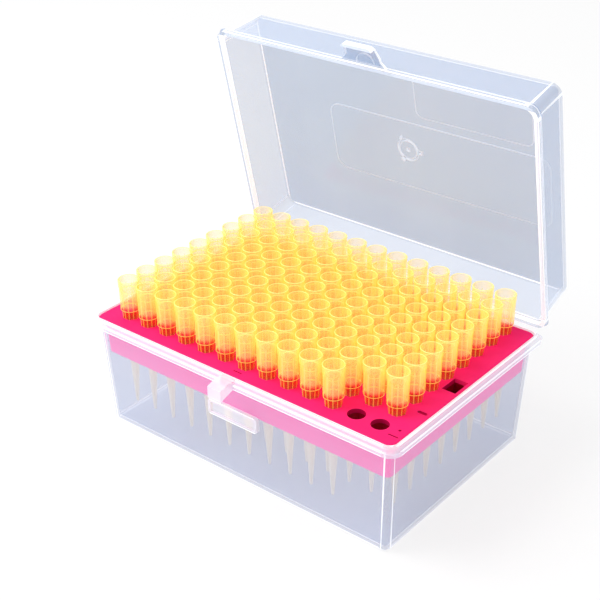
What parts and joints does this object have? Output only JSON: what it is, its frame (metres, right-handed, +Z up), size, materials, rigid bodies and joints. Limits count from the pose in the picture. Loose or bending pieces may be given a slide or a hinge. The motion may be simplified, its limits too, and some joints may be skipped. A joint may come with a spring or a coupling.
{
  "type": "pipette tip rack box",
  "caption": "Hinged clear plastic box, open, with a perforated deck that holds rows of hollow tapered pipette tips.",
  "frame": {"origin": "centre of the tub's underside, on the surface that the box stands on", "axes": "+X along the box's long side, -Y towards the latch at the front, +Y towards the hinge, +Z up"},
  "size_m": [0.1326, 0.1158, 0.1377],
  "materials": {
    "clear_plastic": "clear, polished",
    "pink_plastic": "satin",
    "yellow_plastic": "clear, tinted"
  },
  "bodies": {
    "base": {"tub": "clear_plastic", "rack": "pink_plastic", "tip_column_01": "yellow_plastic", "tip_column_02": "yellow_plastic", "tip_column_03": "yellow_plastic", "tip_column_04": "yellow_plastic", "tip_column_05": "yellow_plastic", "tip_column_06": "yellow_plastic", "tip_column_07": "yellow_plastic", "tip_column_08": "yellow_plastic", "tip_column_09": "yellow_plastic", "tip_column_10": "yellow_plastic", "tip_column_11": "yellow_plastic", "tip_column_12": "yellow_plastic", "tip_column_13": "yellow_plastic"},
    "lid": {"lid": "clear_plastic"}
  },
  "joints": [
    {"name": "lid_hinge", "type": "hinge", "parent": "base", "child": "lid", "pos_m": [0, 0.045, 0.0422], "axis": [-1, 0, 0], "range_deg": [-77, 0]}
  ]
}
